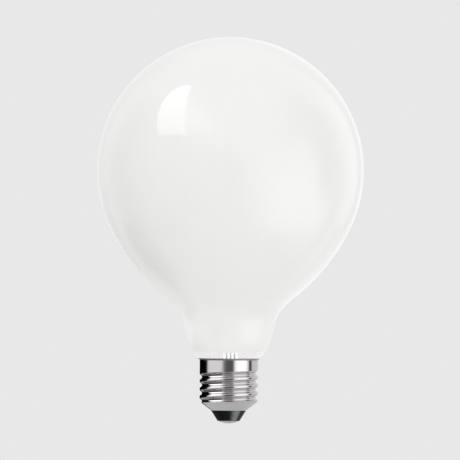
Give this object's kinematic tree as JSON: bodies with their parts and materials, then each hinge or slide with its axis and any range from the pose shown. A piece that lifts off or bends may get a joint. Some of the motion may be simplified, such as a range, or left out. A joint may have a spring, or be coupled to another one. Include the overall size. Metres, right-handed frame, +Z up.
{
  "type": "light bulb",
  "caption": "Opal glass globe bulb on a short neck, with a bright nickel screw cap: rolled round thread, turned-out rim, black glass insulator and domed centre contact.",
  "frame": {"origin": "tip of the centre contact, on the lamp's axis", "axes": "+Z up the lamp's axis from the centre contact to the crown of the globe; the picture looks along +Y, with +X to its right"},
  "size_m": [0.12, 0.12, 0.174],
  "materials": {
    "opal_glass": "glossy white opal",
    "nickel_plate": "bright nickel plate",
    "black_glass": "glossy black",
    "tinned_contact": "bright tinned",
    "cement": "matte",
    "lead_wire": "drawn wire"
  },
  "bodies": {
    "root": {"opal_globe": "opal_glass", "screw_shell": "nickel_plate", "insulator": "black_glass", "centre_contact": "tinned_contact", "cap_cement": "cement", "live_lead": "lead_wire", "neutral_lead": "lead_wire"}
  },
  "joints": []
}
